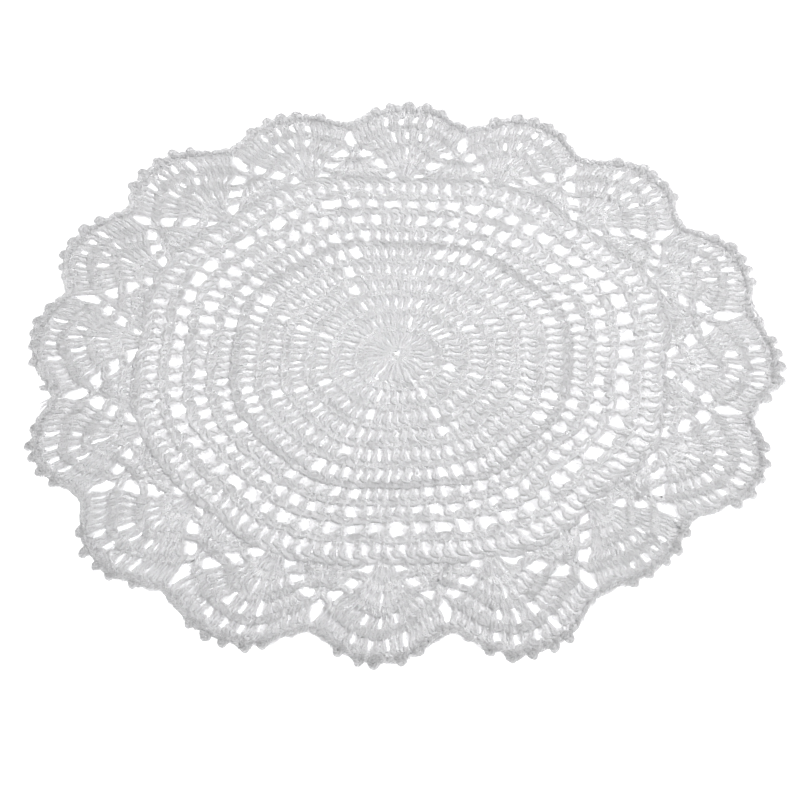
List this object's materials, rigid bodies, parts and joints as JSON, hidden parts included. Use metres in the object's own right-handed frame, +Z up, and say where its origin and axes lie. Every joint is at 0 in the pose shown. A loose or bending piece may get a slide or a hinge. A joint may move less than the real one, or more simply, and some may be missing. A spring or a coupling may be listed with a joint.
{
  "type": "crocheted lace doily",
  "caption": "Round crocheted cotton doily lying flat, with openwork rounds, a border of fans and a scalloped picot edge.",
  "frame": {"origin": "centre of the doily on its flat underside, at the mount underside", "axes": "+Z up out of the upper face, +X to the right and +Y away as the doily is seen from the front"},
  "size_m": [0.2952, 0.2964, 0.0025],
  "materials": {
    "cotton": "matt off-white crochet cotton, soft and slightly fuzzy"
  },
  "bodies": {
    "root": {"doily": "cotton"}
  },
  "joints": []
}
